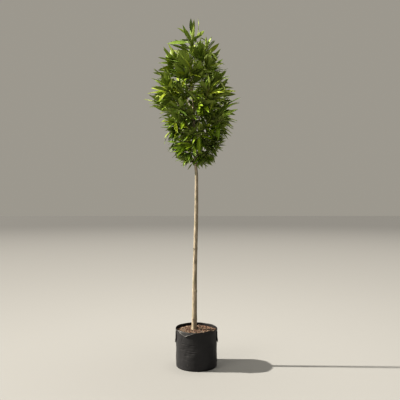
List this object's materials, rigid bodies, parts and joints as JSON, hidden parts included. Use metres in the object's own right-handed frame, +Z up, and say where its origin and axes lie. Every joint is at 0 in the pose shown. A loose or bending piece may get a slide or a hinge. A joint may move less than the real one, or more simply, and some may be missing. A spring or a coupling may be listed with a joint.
{
  "type": "potted sweet chestnut tree",
  "caption": "Young standard sweet chestnut: a tall clear stem under a narrow, dense crown of long toothed leaves, standing in a black growing bag with webbing handles.",
  "frame": {"origin": "centre of the growing bag's flat underside, on the surface that it stands on", "axes": "+Z up along the trunk, +X to the right and +Y to the back as the picture shows the tree"},
  "size_m": [0.8409, 0.7882, 2.974],
  "materials": {
    "grow_bag": "black woven film, slightly shiny, creased",
    "webbing": "black webbing, matt",
    "compost": "loose brown compost with bark bits and pale grit, matt",
    "bark": "smooth olive-grey young bark with faint scars, matt",
    "young_bark": "olive-brown bark of young boughs and twigs, satin",
    "leaves": "mid to dark green, glossy above, paler below, yellow-green at the shoot tips"
  },
  "bodies": {
    "root": {"bag_handle_left": "webbing", "bag_handle_right": "webbing", "bough_01": "young_bark", "bough_02": "young_bark", "bough_03": "young_bark", "bough_04": "young_bark", "bough_05": "young_bark", "bough_06": "young_bark", "bough_07": "young_bark", "bough_08": "young_bark", "bough_09": "young_bark", "bough_10": "young_bark", "bough_11": "young_bark", "bough_12": "young_bark", "bough_13": "young_bark", "bough_14": "young_bark", "bough_15": "young_bark", "bough_16": "young_bark", "bough_17": "young_bark", "bough_18": "young_bark", "bough_19": "young_bark", "bough_20": "young_bark", "compost": "compost", "foliage_01": "leaves", "foliage_02": "leaves", "foliage_03": "leaves", "foliage_04": "leaves", "foliage_05": "leaves", "foliage_06": "leaves", "foliage_07": "leaves", "foliage_08": "leaves", "foliage_09": "leaves", "foliage_10": "leaves", "foliage_11": "leaves", "foliage_12": "leaves", "foliage_13": "leaves", "foliage_14": "leaves", "foliage_15": "leaves", "foliage_16": "leaves", "foliage_17": "leaves", "foliage_18": "leaves", "foliage_19": "leaves", "foliage_20": "leaves", "foliage_foot_1": "leaves", "foliage_foot_2": "leaves", "foliage_foot_3": "leaves", "foliage_foot_4": "leaves", "foliage_leader": "leaves", "grow_bag": "grow_bag", "trunk": "bark"}
  },
  "joints": []
}
